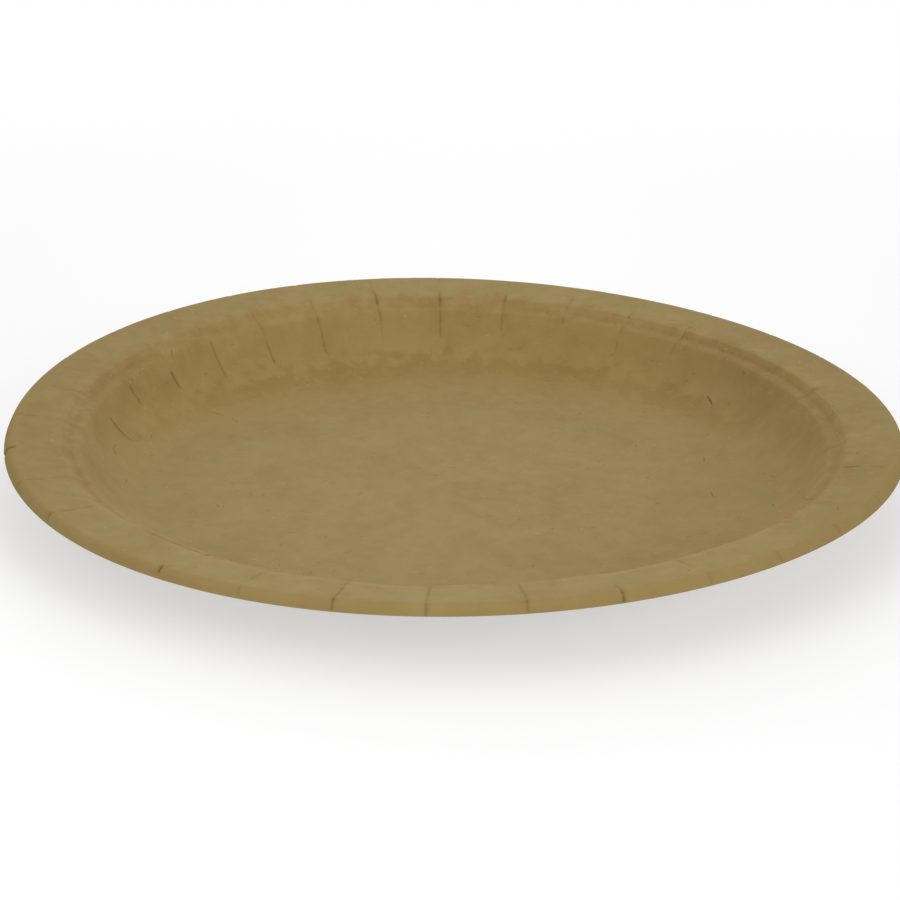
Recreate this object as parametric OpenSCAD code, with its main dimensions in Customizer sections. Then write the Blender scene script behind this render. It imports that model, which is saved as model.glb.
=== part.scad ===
// Round pressed paper plate: one disc of kraft board with a downturned lip, a brim, a stepped
// shoulder, a sloping wall and a flat floor. The board that the round shape leaves over is
// folded into radial pleats: a crease shows on the upper face and a tuck lies on the underside.

/* [Overall] */
// Diameter across the cut edge of the lip
plate_d = 230; // [170:1:320]
// Height from the underside of the floor to the highest line of the brim
plate_h = 18.3; // [14:0.1:30]
// Thickness of the board
board_t = 0.5; // [0.35:0.05:0.7]

/* [Lip] */
// How far the edge of the lip lies below the highest line of the brim
lip_drop = 2.4; // [1.6:0.1:5]
// Steepness of the lip, in degrees below level
lip_angle = 67; // [50:1:80]
// Radius of the bend between brim and lip, on the upper face
lip_bend_r = 1.1; // [1:0.05:1.3]

/* [Brim] */
// Width of the brim between its two bends
brim_w = 13.7; // [6:0.1:24]
// How much the brim rises outwards, in degrees
brim_tilt = 6.5; // [0:0.5:10]
// Radius of the bend at the inner edge of the brim, on the upper face
brim_bend_r = 1.2; // [1:0.05:1.6]

/* [Shoulder] */
// Height of the short riser below the brim
riser_h = 2.2; // [1.8:0.1:4]
// Steepness of the riser, in degrees
riser_angle = 50; // [42:1:65]
// Radius of the bend between riser and ledge, on the upper face
riser_bend_r = 0.9; // [0.6:0.05:1.2]
// Width of the ledge between riser and wall
ledge_w = 2.5; // [2:0.1:5]
// How much the ledge rises outwards, in degrees
ledge_tilt = 9; // [0:1:15]
// Radius of the bend between ledge and wall, on the upper face
ledge_bend_r = 1.3; // [1:0.05:1.6]

/* [Wall and floor] */
// Steepness of the wall, in degrees
wall_angle = 56; // [45:1:65]
// Radius of the curve between floor and wall, on the upper face
foot_r = 21; // [4:0.5:24]

/* [Pleats] */
// Number of pleats round the plate
pleat_count = 33; // [20:1:44]
// Direction of the first pleat, in degrees from the X axis
first_pleat = 5.45; // [0:0.05:10.9]
// Width of a crease, as an angle seen from the centre, in degrees
crease_angle = 0.34; // [0.2:0.02:0.6]
// Depth of a crease in the upper face
crease_depth = 0.2; // [0.1:0.01:0.25]
// Length of a crease below the ledge, where it runs out on the wall
crease_run = 5.5; // [2:0.1:5.5]
// Width of a tuck, as an angle seen from the centre, in degrees
tuck_angle = 1.5; // [1:0.1:2.5]
// How far a tuck stands out of the underside
tuck_t = 0.16; // [0.1:0.01:0.2]
// Length of a tuck below the ledge, where it runs out on the wall
tuck_run = 4.4; // [2:0.1:5]

/* [Colours] */
// Colour of the board
kraft = "#9a845a";

/* [Hidden] */
$fn = 180;
// Largest gap between a bend and the chords that stand for it
chord_gap = 0.02;
// How far a cutting shape passes the face that it cuts
clear = 0.3;
// How far a tuck reaches into the board that it belongs to
bite = 0.1;

// Corners of the upper face, as [radius, height], before its bends are rounded
edge_r = plate_d / 2;
lip_tangent = lip_bend_r * tan((brim_tilt + lip_angle) / 2);
lip_corner_z = plate_h + lip_tangent * sin(brim_tilt) - lip_bend_r * (1 - cos(brim_tilt));
lip_corner = [edge_r - (lip_corner_z - plate_h + lip_drop) / tan(lip_angle), lip_corner_z];
lip_edge = [edge_r, plate_h - lip_drop];
brim_corner = lip_corner - brim_w * [1, tan(brim_tilt)];
riser_corner = brim_corner - riser_h * [1 / tan(riser_angle), 1];
ledge_corner = riser_corner - ledge_w * [1, tan(ledge_tilt)];
foot_corner = [ledge_corner[0] - (ledge_corner[1] - board_t) / tan(wall_angle), board_t];

// Unit vector at an angle, and the one a quarter turn to its left
function along(a) = [cos(a), sin(a)];
function left_of(a) = [-sin(a), cos(a)];

// Points of a rounded bend, at a depth below the upper face. The board arrives at angle a and
// leaves at angle b, and r is the radius of the bend on the upper face.
function bend(corner, a, b, r, depth) =
    let (side = sign(b - a))
    let (steps = max(2, ceil(abs(b - a) / (2 * acos(1 - chord_gap / r)))))
    let (centre = corner - r * tan(abs(b - a) / 2) * along(a) + side * r * left_of(a))
    [for (k = [0 : steps]) centre - side * (r + side * depth) * left_of(a + (b - a) * k / steps)];

// The bends of the shoulder, from the wall to the brim, at a depth below the upper face
function shoulder_line(depth) = concat(
    bend(ledge_corner, wall_angle, ledge_tilt, ledge_bend_r, depth),
    bend(riser_corner, ledge_tilt, riser_angle, riser_bend_r, depth),
    bend(brim_corner, riser_angle, brim_tilt, brim_bend_r, depth));

// The bend between brim and lip, at a depth below the upper face
function lip_line(depth) = bend(lip_corner, brim_tilt, -lip_angle, lip_bend_r, depth);

// A point on the wall, a distance below the ledge and at a depth below the upper face
function on_wall(run, depth) =
    ledge_corner - run * along(wall_angle) - depth * left_of(wall_angle);

// A point on the brim, a distance short of the lip and at a depth below the upper face
function on_brim(short, depth) =
    lip_corner - short * along(brim_tilt) - depth * left_of(brim_tilt);

// A point on the lip, a distance past its cut edge and at a depth below the upper face
function on_lip(past, depth) =
    lip_edge + past * along(-lip_angle) - depth * left_of(-lip_angle);

// One face of the board from the centre of the floor to the cut edge of the lip
function face_line(depth) = concat(
    [[0, board_t - depth]],
    bend(foot_corner, 0, wall_angle, foot_r, depth),
    shoulder_line(depth),
    lip_line(depth),
    [on_lip(0, depth)]);

// The points of a line in the opposite order
function back(line) = [for (k = [len(line) - 1 : -1 : 0]) line[k]];

// Section of the board
module board_section() {
    polygon(concat(face_line(0), back(face_line(board_t))));
}

// Section of a crease: it is equally deep down lip, brim and shoulder, and runs out on the wall
module crease_section() {
    polygon(concat(
        [on_wall(crease_run, 0), on_wall(crease_run, -clear)],
        shoulder_line(-clear),
        lip_line(-clear),
        [on_lip(clear, -clear), on_lip(clear, crease_depth)],
        back(lip_line(crease_depth)),
        back(shoulder_line(crease_depth))));
}

// Section of a tuck: a second layer under wall, shoulder and brim that thins out at both ends
module tuck_section() {
    outer = board_t + tuck_t;
    inner = board_t - bite;
    polygon(concat(
        [on_wall(tuck_run, inner)],
        shoulder_line(outer),
        [on_brim(2 * lip_tangent, outer), on_brim(lip_tangent, inner)],
        back(shoulder_line(inner))));
}

// A section turned through a small angle at every pleat, with the pleat at its middle
module at_pleats(width_angle) {
    for (k = [0 : pleat_count - 1])
        rotate(first_pleat + k * 360 / pleat_count - width_angle / 2)
            rotate_extrude(angle = width_angle)
                children();
}

// The whole plate
module plate() {
    color(kraft)
        difference() {
            union() {
                rotate_extrude() board_section();
                at_pleats(tuck_angle) tuck_section();
            }
            at_pleats(crease_angle) crease_section();
        }
}

plate();
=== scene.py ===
"""Dresses a round pressed paper plate: its pleated form, its kraft board, the light and the view."""
import logging
import math
from dataclasses import dataclass, replace
from enum import Enum
from functools import reduce
from typing import Iterable, Sequence, Union

import bpy
from mathutils import Matrix, Vector


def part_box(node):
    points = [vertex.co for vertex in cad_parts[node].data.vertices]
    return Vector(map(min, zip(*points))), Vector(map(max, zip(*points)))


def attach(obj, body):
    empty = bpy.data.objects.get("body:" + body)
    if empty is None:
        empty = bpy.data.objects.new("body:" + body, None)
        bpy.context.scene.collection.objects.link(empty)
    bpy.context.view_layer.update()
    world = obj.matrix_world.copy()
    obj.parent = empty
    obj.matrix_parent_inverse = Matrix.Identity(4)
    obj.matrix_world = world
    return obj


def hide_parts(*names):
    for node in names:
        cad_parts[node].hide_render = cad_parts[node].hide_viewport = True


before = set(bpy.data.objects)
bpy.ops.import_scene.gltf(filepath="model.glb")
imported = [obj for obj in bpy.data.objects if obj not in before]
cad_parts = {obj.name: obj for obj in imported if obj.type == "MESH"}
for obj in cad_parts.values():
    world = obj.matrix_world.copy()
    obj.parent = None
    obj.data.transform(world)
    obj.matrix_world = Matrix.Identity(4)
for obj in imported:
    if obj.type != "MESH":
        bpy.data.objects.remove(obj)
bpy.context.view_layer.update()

log = logging.getLogger("paper_plate")

MM = 0.001
NODE = "plate"

Socket = bpy.types.NodeSocket
Colour = tuple[float, float, float]
Feed = Union[Socket, float, int, str, Sequence[float], None]


def shade(red: int, green: int, blue: int) -> Colour:
    """Turns a colour of a picture into the one that a shader works with.

    Args:
        red: Red from 0 to 255.
        green: Green from 0 to 255.
        blue: Blue from 0 to 255.

    Returns:
        The linear colour.
    """
    def linear(part: int) -> float:
        """Returns one part of the colour without its gamma."""
        level = part / 255
        return level / 12.92 if level <= 0.04045 else ((level + 0.055) / 1.055) ** 2.4
    return linear(red), linear(green), linear(blue)


class Wiring:
    """Adds nodes to a tree and joins their sockets."""

    def __init__(self, tree: bpy.types.NodeTree) -> None:
        """Starts with the tree that the nodes go into."""
        self.tree = tree

    def node(self, kind: str, feeds: Union[dict, None] = None, **settings: object) -> bpy.types.Node:
        """Adds a node.

        Args:
            kind: The node's type.
            feeds: What goes into its sockets, by name or number.
            **settings: Its own properties.

        Returns:
            The new node.
        """
        made = self.tree.nodes.new(kind)
        for name, value in settings.items():
            setattr(made, name, value)
        for name, value in (feeds or {}).items():
            self.feed(made.inputs[name], value)
        return made

    def feed(self, socket: Socket, value: Feed) -> None:
        """Links a socket to an output, or sets its value.

        Args:
            socket: The socket.
            value: The output or the value. None leaves the socket as it is.
        """
        if isinstance(value, Socket):
            self.tree.links.new(value, socket)
        elif value is not None:
            socket.default_value = value

    def math(self, operation: str, first: Feed, second: Feed = None, clamp: bool = False) -> Socket:
        """Returns the result of a sum on one or two numbers, held between 0 and 1 on request."""
        return self.node(
            "ShaderNodeMath", {0: first, 1: second}, operation=operation, use_clamp=clamp).outputs[0]

    def vector(self, operation: str, first: Feed, second: Feed = None, output: str = "Vector") -> Socket:
        """Returns the result of a sum on one or two vectors."""
        return self.node("ShaderNodeVectorMath", {0: first, 1: second}, operation=operation).outputs[output]

    def ramp(self, value: Feed, low: Feed, high: Feed, smooth: bool = True,
             start: Feed = 0.0, end: Feed = 1.0) -> Socket:
        """Adds a change from one value to another.

        Args:
            value: What the change follows.
            low: Where it begins.
            high: Where it ends.
            smooth: Whether it sets in and ends softly.
            start: The result up to low.
            end: The result past high.

        Returns:
            The result.
        """
        return self.node("ShaderNodeMapRange", {
            "Value": value, "From Min": low, "From Max": high, "To Min": start, "To Max": end},
            interpolation_type="SMOOTHSTEP" if smooth else "LINEAR").outputs["Result"]

    def noise(self, coords: Socket, scale: float, detail: float, roughness: Feed = None) -> Socket:
        """Returns a noise from 0 to 1, whose blots lie closer together the larger the scale is."""
        return self.node("ShaderNodeTexNoise", {
            "Vector": coords, "Scale": scale, "Detail": detail, "Roughness": roughness}).outputs[0]

    def centred(self, value: Socket) -> Socket:
        """Returns a value less 0.5, which lies as much below 0 as above."""
        return self.math("SUBTRACT", value, 0.5)

    def joined(self, x: Socket, y: Socket, z: Feed = None) -> Socket:
        """Returns the vector of two or three numbers."""
        return self.node("ShaderNodeCombineXYZ", {"X": x, "Y": y, "Z": z}).outputs[0]

    def parts(self, vector: Socket) -> tuple[Socket, ...]:
        """Returns the three numbers of a vector."""
        return tuple(self.node("ShaderNodeSeparateXYZ", {0: vector}).outputs)

    def total(self, *terms: Feed) -> Socket:
        """Returns the sum of all terms."""
        return reduce(lambda result, term: self.math("ADD", result, term), terms)

    def product(self, *terms: Feed) -> Socket:
        """Returns the product of all terms."""
        return reduce(lambda result, term: self.math("MULTIPLY", result, term), terms)

    def most(self, *terms: Socket) -> Socket:
        """Returns the largest of all terms."""
        return reduce(lambda result, term: self.math("MAXIMUM", result, term), terms)


@dataclass(frozen=True)
class Fade:
    """A soft change from start at low to end at high, over a stretch in mm or another unit."""

    low: float
    high: float
    start: float = 0.0
    end: float = 1.0
    unit: float = MM

    def mask(self, wiring: Wiring, along: Socket) -> Socket:
        """Returns the change as it follows a value."""
        return wiring.ramp(
            along, self.low * self.unit, self.high * self.unit, start=self.start, end=self.end)


@dataclass(frozen=True)
class Band:
    """A band round the plate, in mm from the cut edge: it sets in up to full and fades up to end."""

    start: float
    full: float
    fading: float
    end: float

    def mask(self, wiring: Wiring, along: Socket) -> Socket:
        """Returns 1 inside the band and 0 outside it."""
        return wiring.product(Fade(self.start, self.full).mask(wiring, along),
                              Fade(self.end, self.fading).mask(wiring, along))


@dataclass(frozen=True)
class Fold:
    """A stretch on which a pleat shows, in mm from the cut edge, and how deep it is, from 0 to 1."""

    start: float
    stop: float
    depth: float


@dataclass(frozen=True)
class Pleat:
    """The stretches of one pleat, and how many degrees it lies beside its place in the round."""

    folds: tuple[Fold, ...]
    off: float = 0.0


# The pleats in order, anticlockwise from the X axis, as they show round the plate.
PLEATS = (
    Pleat((Fold(0, 3, 0.3), Fold(17, 20, 0.15))),
    Pleat((Fold(0, 3, 0.3), Fold(15.5, 18, 0.25), Fold(18.8, 21, 0.15))),
    Pleat((Fold(0, 3, 0.3), Fold(16, 21, 0.2))),
    Pleat((Fold(0, 3, 0.4), Fold(13, 21.5, 0.28))),
    Pleat((Fold(0, 3, 0.4), Fold(14, 20, 0.45), Fold(20, 25, 0.25))),
    Pleat((Fold(13.5, 16.5, 0.6), Fold(16.5, 23, 0.3), Fold(26.3, 29, 0.35))),
    Pleat((Fold(6, 11.5, 0.12), Fold(11.5, 23, 0.3))),
    Pleat((Fold(2, 7, 0.25), Fold(14, 16.4, 0.6), Fold(17.4, 28, 0.2))),
    Pleat((Fold(2, 7, 0.2), Fold(12.5, 17, 0.42), Fold(17, 29.5, 0.4))),
    Pleat((Fold(5, 12, 0.15), Fold(13, 17.5, 0.5), Fold(17.5, 29, 0.35)), -0.2),
    Pleat((Fold(0, 3, 0.4), Fold(14.5, 22, 0.25), Fold(21.8, 32, 0.45)), 0.1),
    Pleat((Fold(0, 3, 0.4), Fold(13.5, 27.2, 0.22), Fold(27.4, 32.3, 0.55))),
    Pleat((Fold(0, 3, 0.3), Fold(14, 19, 0.15), Fold(22, 31.5, 0.42))),
    Pleat((Fold(0, 3, 0.4), Fold(26, 31, 0.75)), 0.2),
    Pleat((Fold(0, 3, 0.5), Fold(24, 29, 1.0)), 0.6),
    Pleat((Fold(7.5, 13, 0.12), Fold(13.5, 17.5, 0.45), Fold(27, 33, 0.65)), 0.4),
    Pleat((Fold(0.8, 7.5, 0.35),), 0.3),
    Pleat((Fold(0, 3.6, 1.2),), 0.3),
    Pleat((Fold(0.5, 2.5, 0.3), Fold(4.5, 8.5, 0.3), Fold(10.5, 15, 0.18)), 0.4),
    Pleat((Fold(1.0, 3.2, 0.75), Fold(5.5, 11.5, 0.4), Fold(12.5, 17, 0.3)), 0.5),
    Pleat((Fold(1.8, 3.5, 0.2), Fold(18, 29, 0.3)), 0.3),
    Pleat((Fold(1.6, 3.3, 0.85), Fold(11.8, 14, 0.2), Fold(18, 28, 0.4))),
    Pleat((Fold(0, 2.5, 0.25), Fold(6.5, 15, 0.28), Fold(18, 29, 0.4))),
    Pleat((Fold(0.6, 3, 0.5), Fold(3, 11, 0.55), Fold(11, 24, 0.3)), 0.3),
    Pleat((Fold(0, 30, 0.45),), -0.2),
    Pleat((Fold(0, 3, 0.5), Fold(3, 27, 0.33))),
    Pleat((Fold(0.5, 2.8, 0.9), Fold(2.8, 6.5, 0.5), Fold(18, 29, 0.5))),
    Pleat((Fold(0, 3, 0.22), Fold(9, 17.5, 0.22), Fold(18, 26, 0.3))),
    Pleat((Fold(0.8, 3.3, 0.3), Fold(18, 29, 0.5)), -0.5),
    Pleat((Fold(1.2, 3.3, 0.3), Fold(14, 18, 0.6), Fold(20, 28, 0.3)), -0.4),
    Pleat((Fold(0, 3, 0.25), Fold(18, 29, 0.4))),
    Pleat((Fold(0, 3, 0.3), Fold(5, 12.6, 0.25), Fold(12.8, 15.4, 1.1)), -0.4),
    Pleat((Fold(0, 3, 0.2), Fold(18, 22, 0.2))),
)


class Side(Enum):
    """A side of the board, as the depth of a point below the upper face, from 0 to 1."""

    UPPER = 0.0
    LOWER = 1.0


@dataclass(frozen=True)
class Point:
    """A point of the plate's section, and what the form needs to know there."""

    radius: float
    height: float
    normal: Vector
    side: float
    edge: float = 0.0
    way: float = 0.0


@dataclass(frozen=True)
class Bend:
    """A bend of the board in the section, rounded about its corner."""

    corner: Vector
    before: float
    after: float
    radius: float
    steps: int


@dataclass
class PlateSection:
    """The section of the board: floor, foot, wall, ledge, riser, brim and lip."""

    edge_r: float
    height: float = 18.3 * MM
    board_t: float = 0.5 * MM
    lip_drop: float = 2.4 * MM
    lip_angle: float = 67
    lip_bend_r: float = 1.8 * MM
    brim_w: float = 13.7 * MM
    brim_tilt: float = 6.5
    brim_bend_r: float = 1.2 * MM
    riser_h: float = 2.2 * MM
    riser_angle: float = 50
    riser_bend_r: float = 0.9 * MM
    ledge_w: float = 2.5 * MM
    ledge_tilt: float = 9
    ledge_bend_r: float = 1.3 * MM
    wall_angle: float = 56
    foot_r: float = 21 * MM

    LOWER_STEPS = 0.6
    CUT_STEPS = (0.15, 0.5, 0.85)
    INSIDE = {Side.UPPER: (6, 5, 3, 3, 11, 4), Side.LOWER: (4, 3, 1, 1, 5, 1)}

    def bends(self) -> list[Bend]:
        """Lays out the bends of the section.

        Returns:
            The bends from the foot to the lip, with corners on the upper face.
        """
        tilt, fall = math.radians(self.brim_tilt), math.radians(self.lip_angle)
        tangent = self.lip_bend_r * math.tan((tilt + fall) / 2)
        lip_z = self.height + tangent * math.sin(tilt) - self.lip_bend_r * (1 - math.cos(tilt))
        lip = Vector((self.edge_r - (lip_z - self.height + self.lip_drop) / math.tan(fall), lip_z))
        brim = lip - self.brim_w * Vector((1, math.tan(tilt)))
        riser = brim - self.riser_h * Vector((1 / math.tan(math.radians(self.riser_angle)), 1))
        ledge = riser - self.ledge_w * Vector((1, math.tan(math.radians(self.ledge_tilt))))
        wall = math.tan(math.radians(self.wall_angle))
        foot = Vector((ledge.x - (ledge.y - self.board_t) / wall, self.board_t))
        return [
            Bend(foot, 0, self.wall_angle, self.foot_r, 13),
            Bend(ledge, self.wall_angle, self.ledge_tilt, self.ledge_bend_r, 4),
            Bend(riser, self.ledge_tilt, self.riser_angle, self.riser_bend_r, 4),
            Bend(brim, self.riser_angle, self.brim_tilt, self.brim_bend_r, 4),
            Bend(lip, self.brim_tilt, -self.lip_angle, self.lip_bend_r, 6),
        ]

    def bend_points(self, bend: Bend, side: Side) -> list[Point]:
        """Rounds a bend.

        Args:
            bend: The bend.
            side: The side of the board that the points lie on.

        Returns:
            The points of the curve, outwards.
        """
        first, last = math.radians(bend.before), math.radians(bend.after)
        turn = 1 if last > first else -1
        reach = bend.radius * math.tan(abs(last - first) / 2)
        centre = bend.corner + Vector((
            -reach * math.cos(first) - turn * bend.radius * math.sin(first),
            -reach * math.sin(first) + turn * bend.radius * math.cos(first)))
        depth = side.value * self.board_t
        points = []
        steps = bend.steps if side is Side.UPPER else math.ceil(self.LOWER_STEPS * bend.steps)
        for step in range(steps + 1):
            angle = first + (last - first) * step / steps
            normal = Vector((-math.sin(angle), math.cos(angle)))
            place = centre - turn * (bend.radius + turn * depth) * normal
            points.append(Point(place.x, place.y, normal, side.value))
        return points

    @staticmethod
    def partway(first: Point, last: Point, share: float) -> Point:
        """Returns the point at a share of the way from one point to another."""
        return replace(first, radius=first.radius + (last.radius - first.radius) * share,
                       height=first.height + (last.height - first.height) * share)

    def face(self, side: Side) -> list[Point]:
        """Runs along one face of the board.

        Args:
            side: The side of the board.

        Returns:
            Its points, from the centre of the floor to the cut edge.
        """
        fall = math.radians(self.lip_angle)
        down = Vector((math.sin(fall), math.cos(fall)))
        level = self.board_t * (1 - side.value)
        edge = Vector((self.edge_r, self.height - self.lip_drop)) - side.value * self.board_t * down
        curves = [self.bend_points(bend, side) for bend in self.bends()]
        curves.append([Point(edge.x, edge.y, down, side.value)])
        points = [Point(0.0, level, Vector((0, 1)), side.value)]
        for curve, count in zip(curves, self.INSIDE[side]):
            start = points[-1]
            points += [self.partway(start, curve[0], (step + 1) / (count + 1)) for step in range(count)]
            points += curve
        way, measured = 0.0, [points[-1]]
        for outer, inner in zip(points[::-1], points[-2::-1]):
            way += math.hypot(outer.radius - inner.radius, outer.height - inner.height)
            measured.append(replace(inner, way=way))
        return measured[::-1]

    def points(self) -> list[Point]:
        """Puts the whole section together.

        Returns:
            The points of the upper face, the cut edge and the lower face.
        """
        upper, lower = self.face(Side.UPPER), self.face(Side.LOWER)
        cut = [replace(self.partway(upper[-1], lower[-1], share), side=share, edge=1.0)
               for share in self.CUT_STEPS]
        return upper + cut + lower[::-1]


class PlateTree:
    """The node tree that turns the plate's section round and folds its pleats."""

    NAME = "Pressed plate"
    FOLDS = 3
    HAND_DRAW, PANEL_DRAW = 1.0, 2.0

    # Bands and fades run along the board from its cut edge, or across the plate; a unit of 1 is a share.
    PANELS = Band(11, 16, 21, 27)
    TUCKS = Band(2.6, 4, 24, 26)
    FOLDS_END = Fade(48, 34)
    LOOSE_WALL = Fade(44, 26)
    LOOSE_BRIM = Fade(0, 16, 0.3)
    SLACK_SIDE = Fade(70, -70, 0.15)
    SLACK_SPOTS = Fade(0.3, 0.6, unit=1)
    OVERLAP_STEP = Fade(-0.2, 1.4, unit=1)
    TUCK_FLANK = Fade(1.15, 0.85, unit=1)
    PANEL_STEP = 2.2
    RISER_TOP = 16.6 * MM
    RISER_FOOT = 19.4 * MM
    WANDER_SCALE = 160.0
    WANDER_SHIFT = 3.7
    WANDER_FROM = 10 * MM
    CRINKLE_SCALE = 150.0
    SLACK_SCALE = 60.0
    UPPER_PART, LOWER_PART = 0.3, 0.7
    SHARP_ANGLE = math.radians(50)
    WELD = 0.002 * MM

    def __init__(self, inputs: dict[str, str]) -> None:
        """Adds the named inputs and the nodes.

        Args:
            inputs: The socket type of each named input.
        """
        self.tree = bpy.data.node_groups.new(self.NAME, "GeometryNodeTree")
        self.tree.is_modifier = True
        for label, kind in inputs.items():
            self.tree.interface.new_socket(name=label, in_out="INPUT", socket_type=kind)
        self.tree.interface.new_socket(name="Geometry", in_out="OUTPUT", socket_type="NodeSocketGeometry")
        self.wiring = Wiring(self.tree)
        self.given = self.wiring.node("NodeGroupInput").outputs
        self.grid_places()
        self.section_values()
        self.pleat_values()
        self.wiring.node("NodeGroupOutput", {"Geometry": self.finish(self.mesh())})

    def grid_places(self) -> None:
        """Finds the row, the pleat and the place across the pleat of each point of the grid."""
        do, given = self.wiring, self.given
        index = do.node("GeometryNodeInputIndex").outputs[0]
        column = do.math("FLOOR", do.math("DIVIDE", do.math("ADD", index, 0.5), given["Rows"]))
        self.row = do.math("SUBTRACT", index, do.math("MULTIPLY", column, given["Rows"]))
        panels = do.math("DIVIDE", column, given["Columns per Pleat"])
        self.turn = do.math("FLOOR", panels)
        self.pleat = do.math("MODULO", self.turn, given["Pleat Count"])
        self.across = do.centred(do.math("SUBTRACT", panels, self.turn))
        cube = do.math("MULTIPLY", do.math("POWER", do.math("ABSOLUTE", self.across), 3.0),
                       do.math("SIGN", self.across))
        wide = do.product(4.0, do.math("SUBTRACT", 1.0, given["Closeness at Crease"]), cube)
        self.spread = do.math("ADD", do.math("MULTIPLY", self.across, given["Closeness at Crease"]), wide)
        self.pitch = do.math("DIVIDE", 2 * math.pi, given["Pleat Count"])

    def read(self, points: Socket, index: Socket, label: str, kind: str = "FLOAT") -> Socket:
        """Returns a named value of the point with an index.

        Args:
            points: The list of points.
            index: The number of the point.
            label: The name of the value.
            kind: Its type.

        Returns:
            The value.
        """
        value = self.wiring.node("GeometryNodeInputPosition").outputs[0] if label == "position" else (
            self.wiring.node("GeometryNodeInputNamedAttribute", {"Name": label}, data_type=kind).outputs[0])
        return self.wiring.node("GeometryNodeSampleIndex", {
            "Geometry": points, "Value": value, "Index": index}, data_type=kind).outputs[0]

    def points_of(self, label: str) -> Socket:
        """Returns the points of the object that a named input holds."""
        return self.wiring.node("GeometryNodeObjectInfo", {"Object": self.given[label]}).outputs["Geometry"]

    def section_values(self) -> None:
        """Reads what the section says about each row, and finds the way from there to the crease."""
        points = self.points_of("Section")
        self.radius, _, self.height = self.wiring.parts(
            self.read(points, self.row, "position", "FLOAT_VECTOR"))
        self.normal_out, _, self.normal_up = self.wiring.parts(
            self.read(points, self.row, "normal", "FLOAT_VECTOR"))
        self.way, self.side, self.edge = (
            self.read(points, self.row, label) for label in ("way", "side", "edge"))
        self.reach = self.wiring.product(self.spread, self.pitch, self.radius)

    def pleat_values(self) -> None:
        """Reads the pleat's folds, and finds its strength at each point and its direction."""
        do, given = self.wiring, self.given
        points = self.points_of("Pleats")
        parts = []
        for number in range(self.FOLDS):
            start, stop, depth = do.parts(
                self.read(points, self.pleat, f"fold_{number}", "FLOAT_VECTOR"))
            begin = do.math("SUBTRACT", start, given["Fold Fade"])
            past = do.math("ADD", stop, given["Fold Fade"])
            parts.append(do.product(depth, do.ramp(self.way, begin, start), do.ramp(self.way, past, stop)))
        self.strength = do.total(*parts)
        noise = do.noise(do.joined(do.math("MULTIPLY", self.way, self.WANDER_SCALE),
                                   do.math("MULTIPLY", self.pleat, self.WANDER_SHIFT)), 1.0, 1.5)
        wander = do.math("DIVIDE", do.product(do.centred(noise), given["Wander"]),
                         do.math("MAXIMUM", self.radius, self.WANDER_FROM))
        inner = do.math("SUBTRACT", 1.0, do.product(4.0, self.across, self.across))
        bend = do.product(do.math("ADD", wander, self.read(points, self.pleat, "off")), inner, inner,
                          self.FOLDS_END.mask(do, self.way))
        self.azimuth = do.total(given["First Pleat"], do.math(
            "MULTIPLY", do.math("ADD", self.turn, self.spread), self.pitch), bend)
        self.east, self.north = do.math("COSINE", self.azimuth), do.math("SINE", self.azimuth)

    def bell(self, value: Socket, width: Socket) -> Socket:
        """Returns a bell curve.

        Args:
            value: The curve is 1 where this is 0.
            width: The value at which the curve has sunk to a third.

        Returns:
            The height of the curve.
        """
        ratio = self.wiring.math("DIVIDE", value, width)
        square = self.wiring.math("MULTIPLY", ratio, ratio)
        return self.wiring.math("EXPONENT", self.wiring.math("MULTIPLY", square, -1.0))

    def chance(self, number: Socket, shift: float) -> Socket:
        """Returns a fixed random value for each number.

        Args:
            number: The number.
            shift: What is added to the seed, to draw another row of values.

        Returns:
            A value from -1 to 1.
        """
        made = self.wiring.node("FunctionNodeRandomValue", {
            "ID": number, "Seed": self.wiring.math("ADD", self.given["Seed"], shift)}, data_type="FLOAT")
        self.wiring.feed(made.inputs[2], -1.0)
        self.wiring.feed(made.inputs[3], 1.0)
        return made.outputs[1]

    def panel_rise(self) -> Socket:
        """Sets each panel of the shoulder above or below its neighbours.

        Returns:
            How far it stands off.
        """
        do, given = self.wiring, self.given
        after = do.math("MODULO", do.math("ADD", self.pleat, 1.0), given["Pleat Count"])
        ratio = do.math("DIVIDE", self.reach, given["Crease Width"])
        panel = do.ramp(ratio, -self.PANEL_STEP, self.PANEL_STEP,
                        start=self.chance(self.pleat, self.PANEL_DRAW),
                        end=self.chance(after, self.PANEL_DRAW))
        return do.product(panel, given["Panel Height"], self.PANELS.mask(do, self.way))

    def board_rise(self) -> Socket:
        """Moves the whole board off its plain section: panels, slack board and crinkles.

        Returns:
            How far it stands off.
        """
        do, given = self.wiring, self.given
        sideways = do.math("MULTIPLY", self.east, self.radius)
        around = do.joined(sideways, do.math("MULTIPLY", self.north, self.radius))
        crinkle = do.centred(do.noise(around, self.CRINKLE_SCALE, 2.0, 0.55))
        loose = do.product(self.LOOSE_WALL.mask(do, self.way), self.LOOSE_BRIM.mask(do, self.way))
        slack = do.product(self.SLACK_SPOTS.mask(do, do.noise(around, self.SLACK_SCALE, 1.0)),
                           self.SLACK_SIDE.mask(do, sideways))
        low = self.bell(do.math("SUBTRACT", self.way, self.RISER_FOOT), given["Shoulder Spread"])
        high = self.bell(do.math("SUBTRACT", self.way, self.RISER_TOP), given["Shoulder Spread"])
        soft = do.product(do.math("SUBTRACT", low, high), slack, given["Shoulder Slack"])
        return do.total(self.panel_rise(), soft, do.product(crinkle, given["Crinkle Height"], loose))

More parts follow.
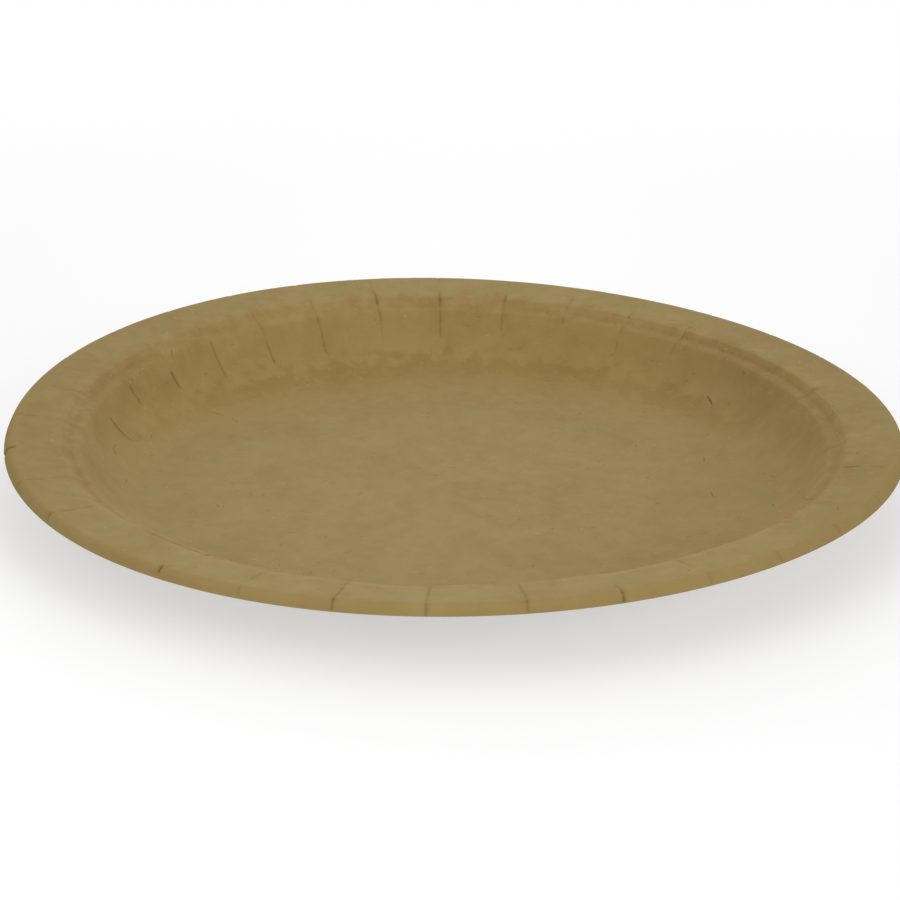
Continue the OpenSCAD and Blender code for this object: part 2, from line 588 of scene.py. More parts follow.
    def upper_rise(self) -> Socket:
        """Folds the upper face at creases and overlaps.

        Returns:
            How far they lift or sink it.
        """
        do, given = self.wiring, self.given
        groove = do.product(self.bell(self.reach, given["Crease Width"]), given["Crease Depth"])
        valley = do.product(self.bell(self.reach, given["Valley Width"]), given["Valley Depth"])
        hand = do.math("SIGN", self.chance(self.pleat, self.HAND_DRAW))
        ratio = do.math("DIVIDE", self.reach, given["Crease Width"])
        overlap = do.product(self.OVERLAP_STEP.mask(do, do.math("MULTIPLY", ratio, hand)),
                             self.bell(self.reach, given["Overlap Fade"]), given["Overlap Height"])
        return do.math("MULTIPLY", self.strength, do.math(
            "SUBTRACT", overlap, do.math("ADD", groove, valley)))

    def lower_rise(self) -> Socket:
        """Raises the tucks on the lower face.

        Returns:
            How far they lift it, which is downwards.
        """
        do, given = self.wiring, self.given
        ratio = do.math("DIVIDE", do.math("ABSOLUTE", self.reach), given["Tuck Width"])
        return do.product(self.TUCK_FLANK.mask(do, ratio), given["Tuck Height"],
                          self.TUCKS.mask(do, self.way), -1.0)

    def place(self) -> Socket:
        """Puts each point in space, with the slow warp of the rim.

        Returns:
            Its place.
        """
        do, given = self.wiring, self.given
        face = do.ramp(self.side, 0.0, 1.0, smooth=False, start=self.upper_rise(), end=self.lower_rise())
        lift = do.math("ADD", self.board_rise(), face)
        nick = do.product(
            self.bell(self.reach, given["Line Width"]), self.strength, self.edge, given["Nick"])
        out = do.total(self.radius, do.math("MULTIPLY", self.normal_out, lift),
                       do.product(nick, self.normal_up, -1.0))
        up = do.total(self.height, do.math("MULTIPLY", self.normal_up, lift),
                      do.product(nick, self.normal_out))
        double = do.math("MULTIPLY", self.azimuth, 2.0)
        warp = do.total(do.math("MULTIPLY", do.math("COSINE", double), given["Warp Across"]),
                        do.math("MULTIPLY", do.math("SINE", double), given["Warp Askew"]))
        share = do.ramp(self.radius, given["Warp Starts"], given["Edge Radius"])
        return do.joined(do.math("MULTIPLY", self.east, out), do.math("MULTIPLY", self.north, out),
                         do.math("ADD", up, do.math("MULTIPLY", warp, share)))

    def crease_shade(self) -> Socket:
        """Marks the crease lines above, partly the board's darker pressed fibres and partly painted shade
        in the grooves and valleys, and the two edges of each tuck below, as painted shade.

        Returns:
            How strongly they show.
        """
        do, given = self.wiring, self.given
        # Crease lines, partly pressed fibres and partly painted shade, wider in the valleys.
        line = do.math("ADD", self.bell(self.reach, given["Line Width"]), do.math(
            "MULTIPLY", self.bell(self.reach, given["Valley Width"]), given["Valley Shade"]))
        past = do.math("SUBTRACT", do.math("ABSOLUTE", self.reach), given["Tuck Width"])
        # Painted shade lines along both edges of each tuck.
        seam = do.product(
            self.bell(past, given["Line Width"]), self.TUCKS.mask(do, self.way), given["Tuck Shade"])
        return do.ramp(self.side, self.UPPER_PART, self.LOWER_PART,
                       start=do.math("MULTIPLY", line, self.strength), end=seam)

    def mesh(self) -> Socket:
        """Turns the section round, and closes it at the seam and at both poles.

        Returns:
            The mesh, with the values that the board's material reads.
        """
        do, given = self.wiring, self.given
        columns = do.math("MULTIPLY", given["Pleat Count"], given["Columns per Pleat"])
        mesh = do.node("GeometryNodeMeshGrid", {
            "Vertices X": do.math("ADD", columns, 1.0), "Vertices Y": given["Rows"]}).outputs["Mesh"]
        mesh = do.node("GeometryNodeSetPosition", {"Geometry": mesh, "Position": self.place()}).outputs[0]
        kept = {"crease": self.crease_shade(), "cut": self.edge, "way": self.way, "side": self.side}
        for label, value in kept.items():
            mesh = do.node("GeometryNodeStoreNamedAttribute", {
                "Geometry": mesh, "Name": label, "Value": value},
                data_type="FLOAT", domain="POINT").outputs[0]
        mesh = do.node("GeometryNodeMergeByDistance", {"Geometry": mesh, "Distance": self.WELD}).outputs[0]
        return do.node("GeometryNodeFlipFaces", {"Mesh": mesh}).outputs[0]

    def finish(self, mesh: Socket) -> Socket:
        """Shades the mesh smooth up to its cut edge and gives it its material.

        Args:
            mesh: The mesh in its shape.

        Returns:
            The finished mesh.
        """
        do = self.wiring
        mesh = do.node("GeometryNodeSetShadeSmooth", {"Geometry": mesh}).outputs[0]
        angle = do.node("GeometryNodeInputMeshEdgeAngle").outputs["Unsigned Angle"]
        sharp = do.math("GREATER_THAN", angle, self.SHARP_ANGLE)
        mesh = do.node("GeometryNodeStoreNamedAttribute", {
            "Geometry": mesh, "Name": "sharp_edge", "Value": sharp},
            data_type="BOOLEAN", domain="EDGE").outputs[0]
        mesh = do.node("GeometryNodeRealizeInstances", {"Geometry": mesh}).outputs[0]
        return do.node("GeometryNodeSetMaterial", {
            "Geometry": mesh, "Material": self.given["Material"]}).outputs[0]


@dataclass
class PressedPlate:
    """The plate as one closed mesh: the section turned round, with pleats where board is folded."""

    section: PlateSection
    pleats: Sequence[Pleat] = PLEATS
    first_pleat: float = 5.45
    columns: int = 24
    closeness: float = 0.12
    fold_fade: float = 0.7 * MM
    crease_w: float = 0.30 * MM
    crease_depth: float = 0.20 * MM
    line_w: float = 0.36 * MM
    valley_w: float = 1.05 * MM
    valley_depth: float = 0.12 * MM
    valley_shade: float = 0.2
    overlap_h: float = 0.08 * MM
    overlap_fade: float = 2.6 * MM
    panel_h: float = 0.20 * MM
    shoulder_slack: float = 0.55 * MM
    shoulder_spread: float = 1.5 * MM
    tuck_w: float = 1.5 * MM
    tuck_h: float = 0.16 * MM
    tuck_shade: float = 0.35
    crinkle_h: float = 0.34 * MM
    wander: float = 1.0 * MM
    nick: float = 0.35 * MM
    warp_across: float = -0.37 * MM
    warp_askew: float = -1.2 * MM
    warp_from: float = 0.65
    seed: int = 7
    name: str = "pressed_plate"

    @staticmethod
    def point_cloud(name: str, places: Iterable[Sequence[float]],
                    columns: dict[str, tuple[str, list]]) -> bpy.types.Object:
        """Makes a mesh of loose points that carry values.

        Args:
            name: The name of the object.
            places: The place of each point.
            columns: For each value its name, its type, and one entry for each point.

        Returns:
            The object, linked to the scene.
        """
        mesh = bpy.data.meshes.new(name)
        mesh.from_pydata([tuple(place) for place in places], [], [])
        for label, (kind, values) in columns.items():
            data = mesh.attributes.new(label, kind, "POINT").data
            for entry, value in zip(data, values):
                setattr(entry, "vector" if kind == "FLOAT_VECTOR" else "value", value)
        made = bpy.data.objects.new(name, mesh)
        bpy.context.scene.collection.objects.link(made)
        return made

    def section_points(self) -> bpy.types.Object:
        """Makes the points of the section, with the values that the node tree reads.

        Returns:
            The object that holds them.
        """
        points = self.section.points()
        return self.point_cloud("section_points", ((p.radius, 0, p.height) for p in points), {
            "normal": ("FLOAT_VECTOR", [(p.normal.x, 0, p.normal.y) for p in points]),
            "way": ("FLOAT", [p.way for p in points]),
            "side": ("FLOAT", [p.side for p in points]),
            "edge": ("FLOAT", [p.edge for p in points]),
        })

    def pleat_points(self) -> bpy.types.Object:
        """Makes one point for each pleat, with its folds.

        Returns:
            The object that holds them.
        """
        places = [(number * self.crease_w, 0, 0) for number in range(len(self.pleats))]
        columns = {"off": ("FLOAT", [math.radians(pleat.off) for pleat in self.pleats])}
        for number in range(PlateTree.FOLDS):
            folds = [(*pleat.folds, *(Fold(0, 0, 0),) * PlateTree.FOLDS)[number] for pleat in self.pleats]
            columns[f"fold_{number}"] = (
                "FLOAT_VECTOR", [(fold.start * MM, fold.stop * MM, fold.depth) for fold in folds])
        return self.point_cloud("pleat_points", places, columns)

    def inputs(self, material: bpy.types.Material) -> dict[str, object]:
        """Lists the values of the node tree's inputs.

        Args:
            material: The board's finish.

        Returns:
            The value of each input, by its name.
        """
        return {
            "Section": self.section_points(), "Pleats": self.pleat_points(), "Material": material,
            "Rows": len(self.section.points()), "Pleat Count": len(self.pleats),
            "Columns per Pleat": self.columns, "Seed": self.seed,
            "Closeness at Crease": self.closeness, "First Pleat": math.radians(self.first_pleat),
            "Fold Fade": self.fold_fade, "Crease Width": self.crease_w, "Crease Depth": self.crease_depth,
            "Line Width": self.line_w, "Valley Width": self.valley_w, "Valley Depth": self.valley_depth,
            "Valley Shade": self.valley_shade,
            "Overlap Height": self.overlap_h, "Overlap Fade": self.overlap_fade,
            "Shoulder Slack": self.shoulder_slack, "Shoulder Spread": self.shoulder_spread,
            "Panel Height": self.panel_h, "Tuck Width": self.tuck_w, "Tuck Height": self.tuck_h,
            "Tuck Shade": self.tuck_shade,
            "Crinkle Height": self.crinkle_h, "Wander": self.wander, "Nick": self.nick,
            "Warp Across": self.warp_across, "Warp Askew": self.warp_askew,
            "Warp Starts": self.warp_from * self.section.edge_r, "Edge Radius": self.section.edge_r,
        }

    def build(self, material: bpy.types.Material) -> bpy.types.Object:
        """Makes the plate's mesh, centred on the origin, and links it to the scene.

        Args:
            material: The board's finish.

        Returns:
            The finished piece.
        """
        kinds = {int: "NodeSocketInt", float: "NodeSocketFloat", bpy.types.Object: "NodeSocketObject",
                 bpy.types.Material: "NodeSocketMaterial"}
        values = self.inputs(material)
        tree = PlateTree({label: kinds[type(value)] for label, value in values.items()}).tree
        carrier = bpy.data.objects.new("plate_form", bpy.data.meshes.new("plate_form"))
        bpy.context.scene.collection.objects.link(carrier)
        modifier = carrier.modifiers.new(PlateTree.NAME, "NODES")
        modifier.node_group = tree
        for item in tree.interface.items_tree:
            if item.in_out == "INPUT":
                modifier[item.identifier] = values[item.name]
        carrier.update_tag()
        graph = bpy.context.evaluated_depsgraph_get()
        mesh = bpy.data.meshes.new_from_object(
            carrier.evaluated_get(graph), preserve_all_data_layers=True, depsgraph=graph)
        mesh.name = self.name
        carrier.modifiers.remove(modifier)
        for scratch in (carrier, values["Section"], values["Pleats"]):
            bpy.data.objects.remove(scratch)
        piece = bpy.data.objects.new(self.name, mesh)
        bpy.context.scene.collection.objects.link(piece)
        return piece


@dataclass(frozen=True)
class Fibres:
    """One layer of short fibres that lie in the board, with their size in mm and their turn."""

    length: float
    width: float
    turn: float
    start: float
    seed: float
    lean: float = 0.05
    aside: float = 0.7

    def mask(self, wiring: Wiring, coords: Socket) -> Socket:
        """Draws the fibres of this layer.

        Args:
            wiring: The tree that the nodes go into.
            coords: The place of each point.

        Returns:
            Where they show, from 0 to 1.
        """
        turned = wiring.node("ShaderNodeMapping", {
            "Vector": coords, "Rotation": (0, 0, math.radians(self.turn)),
            "Location": (self.seed, self.seed * self.aside, 0)}, vector_type="POINT").outputs[0]
        length, width = self.length * MM, self.width * MM
        drawn = wiring.vector("MULTIPLY", turned, (1 / length, 1 / width, 1 / width))
        return wiring.ramp(wiring.noise(drawn, 1.0, 1.5), self.start, self.start + self.lean)


@dataclass(frozen=True)
class Strand:
    """One dark strand in the upper face: its place and size in mm, its turn and how dark it is."""

    x: float
    y: float
    length: float
    width: float
    turn: float
    depth: float

    SOFT_EDGE = (1.3, 0.6)

    def mask(self, wiring: Wiring, coords: Socket) -> Socket:
        """Draws the strand.

        Args:
            wiring: The tree that the nodes go into.
            coords: The place of each point.

        Returns:
            Where it shows, from 0 to its depth.
        """
        inside = wiring.node("ShaderNodeMapping", {
            "Vector": coords, "Location": (self.x * MM, self.y * MM, 0),
            "Rotation": (0, 0, math.radians(self.turn)),
            "Scale": (self.length * MM / 2, self.width * MM / 2, 1)}, vector_type="TEXTURE").outputs[0]
        return wiring.ramp(
            wiring.vector("LENGTH", inside, output="Value"), *self.SOFT_EDGE, end=self.depth)


# The strands that stand out of the board's even grain, from right to left.
STRANDS = (
    Strand(91, -59, 2.5, 0.4, 75, 0.35),
    Strand(87, -30, 3.5, 0.4, 85, 0.45),
    Strand(83, 1, 2, 0.5, 105, 0.4),
    Strand(81, -18, 2.5, 0.5, 90, 0.4),
    Strand(80, 51, 2, 0.5, 115, 0.3),
    Strand(71, 51, 5, 0.6, 105, 0.7),
    Strand(66.5, -8, 4, 0.5, 100, 0.5),
    Strand(66.5, 16, 4, 0.5, 85, 0.35),
    Strand(49, 25, 2.5, 0.4, 85, 0.4),
    Strand(19, -30.5, 2.5, 0.5, 90, 0.25),
    Strand(-60, -18.5, 2, 0.6, 115, 0.35),
    Strand(-60, 40, 2.5, 0.5, 100, 0.25),
    Strand(-70, 58, 1.6, 1, 40, 0.3),
    Strand(-79, 55, 3, 0.4, 100, 0.5),
    Strand(-80, 13, 2, 0.6, 70, 0.2),
    Strand(-81.5, 22.5, 2.5, 0.5, 85, 0.25),
    Strand(-84.5, -7.5, 2.5, 0.4, 100, 0.4),
    Strand(-89, 5.5, 4.5, 0.5, 105, 0.3),
)


@dataclass(frozen=True)
class KraftBoard:
    """Unbleached board: a soft grey-brown sheet with clouds, fibres and darker creases, partly pressed
    fibres and partly painted shade.

    A depth is what a zone adds to the share of the deep colour: the sides, the ledge and the foot get
    painted shade, the floor past the foot painted light. A share is how far marks cover the sheet.
    """

    tone: Colour = shade(155, 135, 86)
    deep: Colour = shade(139, 115, 67)
    # Warm tones of the wall: partly the board's own tone, partly painted warm bounce light.
    warm: Colour = shade(158, 132, 82)
    warm_deep: Colour = shade(141, 111, 61)
    fibre_dark: Colour = shade(106, 84, 48)
    fibre_pale: Colour = shade(178, 158, 112)
    strand: Colour = shade(82, 58, 30)
    # Crease line colour: partly pressed fibres, partly painted shade.
    crease: Colour = shade(100, 73, 36)
    rubbed: Colour = shade(158, 130, 77)
    cut: Colour = shade(150, 128, 86)
    cloud_size: float = 14 * MM
    blot_size: float = 3.2 * MM
    grain_size: float = 0.7 * MM
    grain_share: float = 0.2
    blot_share: float = 0.8
    shoulder_blots: float = 1.5
    # The side, ledge and foot depths paint shade; the past-foot depth paints light.
    side_shade_depth: float = 0.3
    ledge_shade_depth: float = 0.25
    shoulder_depth: float = -0.05
    foot_shade_depth: float = 0.3
    past_foot_light_depth: float = -0.16
    front_depth: float = -0.12
    all_depth: float = 0.2
    dark_fibres: tuple[Fibres, ...] = (
        Fibres(6.0, 0.85, 8, 0.718, 0.0), Fibres(5.0, 0.75, 68, 0.723, 0.31),
        Fibres(5.5, 0.80, 124, 0.718, 0.57))
    pale_fibres: tuple[Fibres, ...] = (
        Fibres(4.5, 0.75, 20, 0.715, 0.83), Fibres(4.0, 0.70, 100, 0.72, 1.21))
    strands: tuple[Strand, ...] = STRANDS
    dark_share: float = 0.36
    pale_share: float = 0.5
    strand_share: float = 0.85
    sway_scale: float = 900.0
    fibre_sway: float = 0.9 * MM
    strand_sway: float = 0.45 * MM
    rubbed_share: float = 0.42
    grain_relief: float = 0.35
    blot_relief: float = 1.25
    dark_relief: float = -0.15
    pale_relief: float = 0.2
    roughness: float = 0.86
    specular: float = 0.18
    bump_strength: float = 0.35
    bump_h: float = 0.12 * MM
    name: str = "kraft_board"

    def build(self) -> bpy.types.Material:
        """Makes the board's finish.

        Returns:
            Its material.
        """
        material = bpy.data.materials.new(self.name)
        material.use_nodes = True
        material.node_tree.nodes.clear()
        BoardTree(material.node_tree, self)
        return material


class BoardTree:
    """The node tree that paints the board."""

    SPOT_WIDTH = 0.7
    SPOT_ROUGHNESS = 0.55

    # Bands and fades run along the board from its cut edge, or across the plate; a unit of 1 is a share.
    SHOULDER = Band(12, 14, 20, 24)
    LEDGE = Band(17, 18.2, 21, 22)
    FOOT = Band(34, 38, 40, 44)
    PAST_FOOT = Band(42, 45, 52, 66)
    SIDES = Band(1.5, 4, 27, 44)
    WALL_TOP = Fade(11, 20)
    WALL_FOOT = 32 * MM
    WALL_INSIDE = Fade(-30, 70, 44 * MM, 92 * MM)
    WALL_SIDES = Fade(50, 110, 1.0, 0.6)
    TO_LEFT = Fade(-35, -90, 1.0, 0.75)
    TO_SIDES = Fade(50, 105)
    LEDGE_RIGHT = Fade(-10, 80)
    LEDGE_LEFT = Fade(-30, -100)
    FOOT_BACK = Fade(10, 65)
    PAST_FOOT_BACK = Fade(10, 60)
    TO_FRONT = Fade(-45, -75)
    WALL_FRONT = Fade(24, 32)
    RUBBED_FROM = Fade(0, 2, 0.5)
    RUBBED_TO = Fade(6.5, 1.5)
    RUBBED_SPOTS = Fade(0.35, 0.65, 0.5, unit=1)
    BROKEN_CREASES = Fade(0.3, 0.6, 0.3, 0.75, unit=1)
    FRAYED_GRAIN = Fade(0.3, 0.7, 0.3, 0.9, unit=1)
    UPPER_FACE = Fade(0.1, 0, unit=1)
    RAGGED = 22 * MM
    BELOW_RISER = (19 * MM, 22 * MM)

    def __init__(self, tree: bpy.types.NodeTree, board: KraftBoard) -> None:
        """Adds the nodes.

        Args:
            tree: The tree that they go into.
            board: The colours and amounts of the board.
        """
        do = self.wiring = Wiring(tree)
        self.board = board
        self.coords = do.node("ShaderNodeTexCoord").outputs["Object"]
        self.x, self.y, _ = do.parts(self.coords)
        self.crease, self.way, self.cut, self.side = (
            do.node("ShaderNodeAttribute", attribute_name=label).outputs["Fac"]
            for label in ("crease", "way", "cut", "side"))
        self.clouds = self.spots(board.cloud_size, 3.0)
        self.blots = self.spots(board.blot_size, 2.0)
        self.grain = self.spots(board.grain_size, 2.0)
        self.ragged = do.math("ADD", self.way, do.product(do.centred(self.blots), self.RAGGED))
        self.aside = do.math("ABSOLUTE", self.x)
        self.leftwards = self.TO_LEFT.mask(do, self.x)
        self.shoulder = self.SHOULDER.mask(do, self.way)
        self.uneven = do.ramp(
            self.shoulder, 0.0, 1.0, smooth=False, start=board.blot_share, end=board.shoulder_blots)
        self.dark, self.pale, self.strands = self.fibres()
        surface = do.node("ShaderNodeBsdfPrincipled", {
            "Base Color": self.wear_and_crease_shade(self.fibrous(self.sheet())), "Roughness": board.roughness,
            "Specular IOR Level": board.specular, "Normal": self.relief()}).outputs[0]
        do.node("ShaderNodeOutputMaterial", {"Surface": surface})

    def spots(self, size: float, detail: float) -> Socket:
        """Returns a noise from 0 to 1 whose blots are about as large as the size."""
        return self.wiring.noise(self.coords, self.SPOT_WIDTH / size, detail, self.SPOT_ROUGHNESS)

    def blend(self, share: Feed, under: Feed, over: Feed) -> Socket:
        """Mixes two colours.

        Args:
            share: The share of the second colour.
            under: The first colour.
            over: The second colour.

        Returns:
            The mixed colour.
        """
        made = self.wiring.node("ShaderNodeMix", data_type="RGBA")
        self.wiring.feed(made.inputs[0], share)
        for socket, colour in ((made.inputs[6], under), (made.inputs[7], over)):
            self.wiring.feed(socket, (*colour, 1.0) if isinstance(colour, tuple) else colour)
        return made.outputs[2]

    def warm_wall_and_bounce(self) -> Socket:
        """Finds the wall, which is warmer, partly in the board's own tone and partly by painted warm bounce
        light, which reaches farther onto the floor at the back.

        Returns:
            1 there and 0 elsewhere.
        """
        do = self.wiring
        inner = self.WALL_INSIDE.mask(do, self.y)
        return do.product(self.WALL_TOP.mask(do, self.ragged), do.ramp(self.ragged, inner, self.WALL_FOOT),
                          self.WALL_SIDES.mask(do, self.aside), self.leftwards)

    def side_shade(self) -> Socket:
        """Finds brim, shoulder and wall at the left and the right, where shade is painted.

        Returns:
            1 there and 0 elsewhere.
        """
        do = self.wiring
        eased = do.ramp(self.way, *self.BELOW_RISER, start=1.0,
                        end=do.product(self.leftwards, self.leftwards))
        return do.product(self.TO_SIDES.mask(do, self.aside), self.SIDES.mask(do, self.way), eased)

    def ledge(self) -> Socket:
        """Finds the ledge, where shade is painted.

        Returns:
            1 on it at the left and the right, less towards the middle, and 0 elsewhere.
        """
        do = self.wiring
        outwards = do.math("ADD", self.LEDGE_RIGHT.mask(do, self.x), self.LEDGE_LEFT.mask(do, self.x))
        return do.product(self.LEDGE.mask(do, self.way), outwards)

    def sheet(self) -> Socket:
        """Colours the plain sheet, deeper in spots and in some zones, with painted shade at the sides, on
        the ledge and at the foot, painted light past the foot, and the wall warmer, partly by painted
        bounce light.

        Returns:
            Its colour.
        """
        do, board = self.wiring, self.board
        # Painted shade at the foot of the wall, towards the back.
        foot = do.product(self.FOOT.mask(do, self.ragged), self.FOOT_BACK.mask(do, self.y))
        # Painted light on the floor just past the foot, towards the back.
        past_foot_light = do.product(
            self.PAST_FOOT.mask(do, self.ragged), self.PAST_FOOT_BACK.mask(do, self.y))
        in_front = do.product(self.TO_FRONT.mask(do, self.y), self.WALL_FRONT.mask(do, self.way))
        # Zones: painted shade at the sides, on the ledge and at the foot, painted light past the foot.
        zones = (
            (self.side_shade(), board.side_shade_depth), (self.ledge(), board.ledge_shade_depth),
            (self.shoulder, board.shoulder_depth), (foot, board.foot_shade_depth),
            (past_foot_light, board.past_foot_light_depth), (in_front, board.front_depth))
        deep = do.total(
            do.centred(self.clouds), do.product(do.centred(self.blots), self.uneven),
            do.product(do.centred(self.grain), board.grain_share),
            *(do.product(zone, depth) for zone, depth in zones), board.all_depth)
        # Warmer wall: partly the board's own tone, partly painted bounce light.
        warm_wall_and_bounce = self.warm_wall_and_bounce()
        return self.blend(do.math("ADD", deep, 0.0, clamp=True),
                          self.blend(warm_wall_and_bounce, board.tone, board.warm),
                          self.blend(warm_wall_and_bounce, board.deep, board.warm_deep))

    def fibres(self) -> tuple[Socket, Socket, Socket]:
        """Draws the fibres and the strands.

        Returns:
            Where dark fibres, pale fibres and strands show, each from 0 to 1.
        """
        do, board = self.wiring, self.board
        noise = do.node("ShaderNodeTexNoise", {
            "Vector": self.coords, "Scale": board.sway_scale, "Detail": 0.0}).outputs["Color"]
        sway = do.vector("SUBTRACT", noise, (0.5, 0.5, 0.5))
        bent, swung = (
            do.vector("ADD", self.coords, do.vector("MULTIPLY", sway, (amount,) * 3))
            for amount in (board.fibre_sway, board.strand_sway))
        strands = do.most(*(strand.mask(do, swung) for strand in board.strands))
        return (do.most(*(layer.mask(do, bent) for layer in board.dark_fibres)),
                do.most(*(layer.mask(do, bent) for layer in board.pale_fibres)),
                do.product(strands, self.UPPER_FACE.mask(do, self.side)))

    def fibrous(self, colour: Socket) -> Socket:
        """Adds the fibres and strands to a colour.

        Args:
            colour: The colour of the plain sheet.

        Returns:
            The colour with them.
        """
        do, board = self.wiring, self.board
        for mask, share, tone in (
                (self.dark, board.dark_share, board.fibre_dark),
                (self.pale, board.pale_share, board.fibre_pale),
                (self.strands, board.strand_share, board.strand)):
            colour = self.blend(do.math("MULTIPLY", mask, share), colour, tone)
        return colour

    def wear_and_crease_shade(self, colour: Socket) -> Socket:
        """Adds the rubbed lip, the crease lines, partly pressed fibres and partly painted shade, and the
        frayed cut edge to a colour.

        Args:
            colour: The colour of the sheet with its fibres.

        Returns:
            The colour with them.
        """
        do, board = self.wiring, self.board
        rubbed = do.product(
            self.RUBBED_FROM.mask(do, self.way), self.RUBBED_TO.mask(do, self.way),
            self.RUBBED_SPOTS.mask(do, self.clouds), board.rubbed_share)
        broken = self.BROKEN_CREASES.mask(do, self.blots)
        frayed = do.product(self.cut, self.FRAYED_GRAIN.mask(do, self.grain))
        colour = self.blend(rubbed, colour, board.rubbed)
        # Crease lines: partly pressed fibres, partly painted shade in the grooves.
        colour = self.blend(do.math("MULTIPLY", self.crease, broken, clamp=True), colour, board.crease)
        return self.blend(frayed, colour, board.cut)

    def relief(self) -> Socket:
        """Gives the board the relief of its grain, its blots and its fibres.

        Returns:
            Its normal.
        """
        do, board = self.wiring, self.board
        height = do.total(
            do.product(self.grain, board.grain_relief),
            do.product(self.blots, self.uneven, board.blot_relief),
            do.product(self.dark, board.dark_relief), do.product(self.pale, board.pale_relief))
        return do.node("ShaderNodeBump", {
            "Strength": board.bump_strength, "Distance": board.bump_h, "Height": height}).outputs[0]


@dataclass(frozen=True)
class Lamp:
    """A soft lamp: where it hangs, its size, and its light at the plate as a share of plain white."""

    name: str
    bearing: float
    reach: float
    height: float
    width: float
    depth: float
    level: float

    def build(self) -> None:
        """Hangs the lamp, turned towards the plate."""
        turn = math.radians(self.bearing)
        place = Vector((self.reach * math.cos(turn), self.reach * math.sin(turn), self.height))
        lamp = bpy.data.lights.new(self.name, "AREA")
        lamp.shape = "RECTANGLE"
        lamp.size, lamp.size_y = self.width, self.depth
        lamp.energy = self.level * math.pi ** 2 * place.length_squared
        made = bpy.data.objects.new(self.name, lamp)
        made.location = place
        made.rotation_euler = place.to_track_quat("Z", "Y").to_euler()
        bpy.context.scene.collection.objects.link(made)


LAMPS = (
    Lamp("strip_lamp", 0, 0, 0.30, 0.1, 1.0, 0.565),
    Lamp("back_lamp", 90, 1.32, 0.48, 0.8, 0.8, 0.275),
    Lamp("front_right_lamp", -45, 1.32, 0.48, 0.8, 0.8, 0.335),
    Lamp("front_left_lamp", -135, 0.50, 0.30, 0.4, 0.4, 0.200),
)


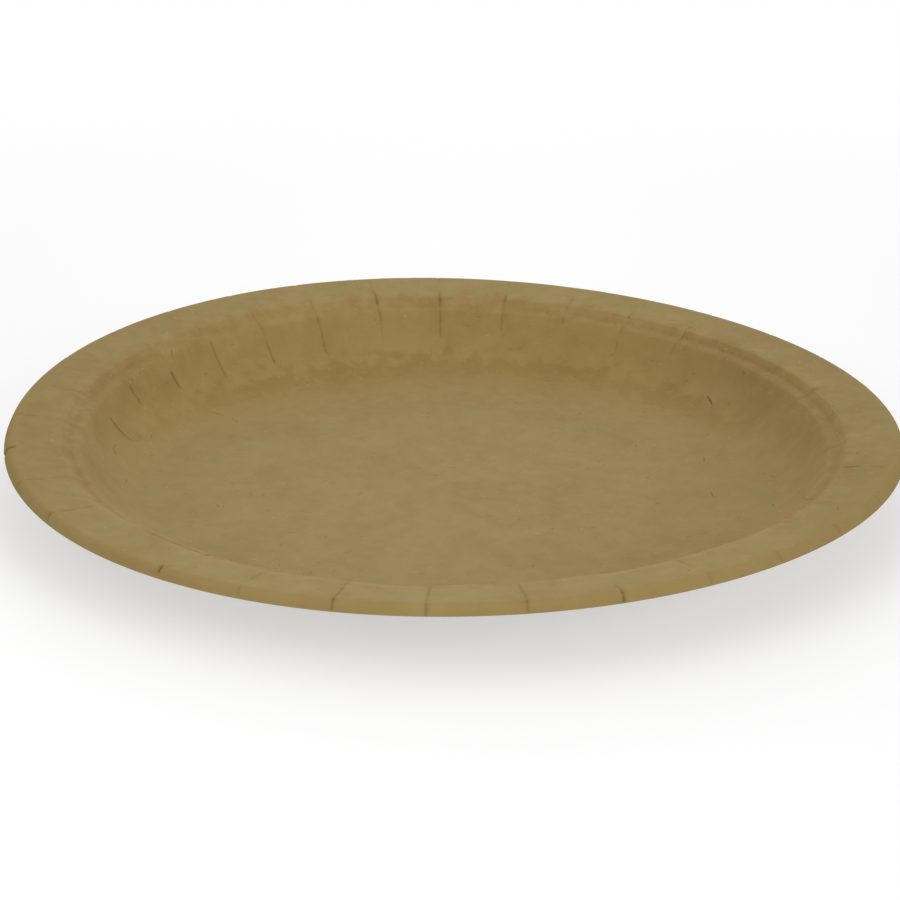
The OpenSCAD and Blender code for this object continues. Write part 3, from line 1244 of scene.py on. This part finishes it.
@dataclass
class Studio:
    """A pale floor, soft light from all round and above, and the camera."""

    floor_half: float = 3.0
    floor_drop: float = 0.05 * MM
    floor_tone: float = 0.80
    floor_seen_tone: float = 0.50
    floor_glow: float = 0.55
    shadow_reach: tuple[float, float] = (0.17, 0.45)
    world_level: float = 0.40
    elevation: float = 21.21
    distance: float = 662.2 * MM
    lens: float = 102.6
    yaw: float = -0.097
    pitch: float = -0.755
    roll: float = 0.51
    aim_height: float = 18.3 * MM
    sensor_w: float = 36
    clip: tuple[float, float] = (0.01, 50)

    WHITE = (1, 1, 1, 1)

    def seen(self, wiring: Wiring) -> Socket:
        """Tells the rays that show the studio itself from those that only bring light.

        Args:
            wiring: The tree that the nodes go into.

        Returns:
            1 for a ray that shows it, and else 0.
        """
        path = wiring.node("ShaderNodeLightPath").outputs
        return wiring.most(
            path["Is Camera Ray"], path["Is Glossy Ray"], path["Is Transmission Ray"])

    def floor(self) -> bpy.types.Object:
        """Makes the floor, which shows white to the camera and keeps the shadow.

        Returns:
            The floor.
        """
        mesh = bpy.data.meshes.new("studio_floor")
        half, level = self.floor_half, -self.floor_drop
        mesh.from_pydata([(-half, -half, level), (half, -half, level), (half, half, level),
                          (-half, half, level)], [], [(0, 1, 2, 3)])
        material = bpy.data.materials.new("studio_floor")
        material.use_nodes = True
        material.node_tree.nodes.clear()
        wiring = Wiring(material.node_tree)
        seen = self.seen(wiring)
        coords = wiring.node("ShaderNodeTexCoord").outputs["Object"]
        away = wiring.vector("LENGTH", coords, output="Value")
        near, far = self.shadow_reach
        shown = wiring.ramp(away, near, far, start=self.floor_seen_tone, end=0.0)
        tone = wiring.ramp(seen, 0.0, 1.0, smooth=False, start=self.floor_tone, end=shown)
        diffuse = wiring.node("ShaderNodeBsdfDiffuse", {"Color": tone}).outputs[0]
        glow = wiring.math("MULTIPLY", seen, wiring.ramp(away, near, far, start=self.floor_glow))
        glow = wiring.node("ShaderNodeEmission", {"Color": self.WHITE, "Strength": glow}).outputs[0]
        both = wiring.node("ShaderNodeAddShader", {0: diffuse, 1: glow}).outputs[0]
        wiring.node("ShaderNodeOutputMaterial", {"Surface": both})
        mesh.materials.append(material)
        made = bpy.data.objects.new("studio_floor", mesh)
        bpy.context.scene.collection.objects.link(made)
        return made

    def world(self) -> None:
        """Sets the light that comes from all round, and the white that the camera sees."""
        world = bpy.data.worlds.new("studio")
        bpy.context.scene.world = world
        world.use_nodes = True
        world.node_tree.nodes.clear()
        wiring = Wiring(world.node_tree)
        level = wiring.ramp(self.seen(wiring), 0.0, 1.0, smooth=False, start=self.world_level, end=1.0)
        back = wiring.node("ShaderNodeBackground", {"Color": self.WHITE, "Strength": level}).outputs[0]
        wiring.node("ShaderNodeOutputWorld", {"Surface": back})

    def camera(self) -> None:
        """Sets up the camera at the photograph's distance, height and turn."""
        rise = math.radians(self.elevation)
        place = Vector((0, -math.cos(rise), math.sin(rise))) * self.distance
        ahead = -place.normalized()
        right = Vector((1, 0, 0))
        ahead = ahead + math.radians(self.yaw) * right + math.radians(self.pitch) * right.cross(ahead)
        ahead.normalize()
        right = ahead.cross(Vector((0, 0, 1))).normalized()
        up = right.cross(ahead)
        turn = math.radians(self.roll)
        right, up = (math.cos(turn) * right + math.sin(turn) * up,
                     -math.sin(turn) * right + math.cos(turn) * up)
        data = bpy.data.cameras.new("camera")
        data.lens = self.lens
        data.sensor_width = self.sensor_w
        data.sensor_fit = "HORIZONTAL"
        data.clip_start, data.clip_end = self.clip
        made = bpy.data.objects.new("camera", data)
        matrix = Matrix((right, up, -ahead)).transposed().to_4x4()
        matrix.translation = place + Vector((0, 0, self.aim_height))
        made.matrix_world = matrix
        bpy.context.scene.collection.objects.link(made)
        bpy.context.scene.camera = made

    def build(self) -> None:
        """Sets the floor, the light and the camera."""
        self.floor()
        self.world()
        for lamp in LAMPS:
            lamp.build()
        self.camera()
        bpy.context.scene.view_settings.view_transform = "Standard"


def main() -> None:
    """Builds the plate in its frame and sets it in the studio."""
    logging.basicConfig(level=logging.INFO, format="%(name)s: %(message)s")
    low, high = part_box(NODE)
    plate = PressedPlate(PlateSection((high.x - low.x) / 2)).build(KraftBoard().build())
    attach(plate, "root")
    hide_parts(NODE)
    log.info("%s: %d faces", plate.name, len(plate.data.polygons))
    Studio().build()


if __name__ == "__main__":
    main()
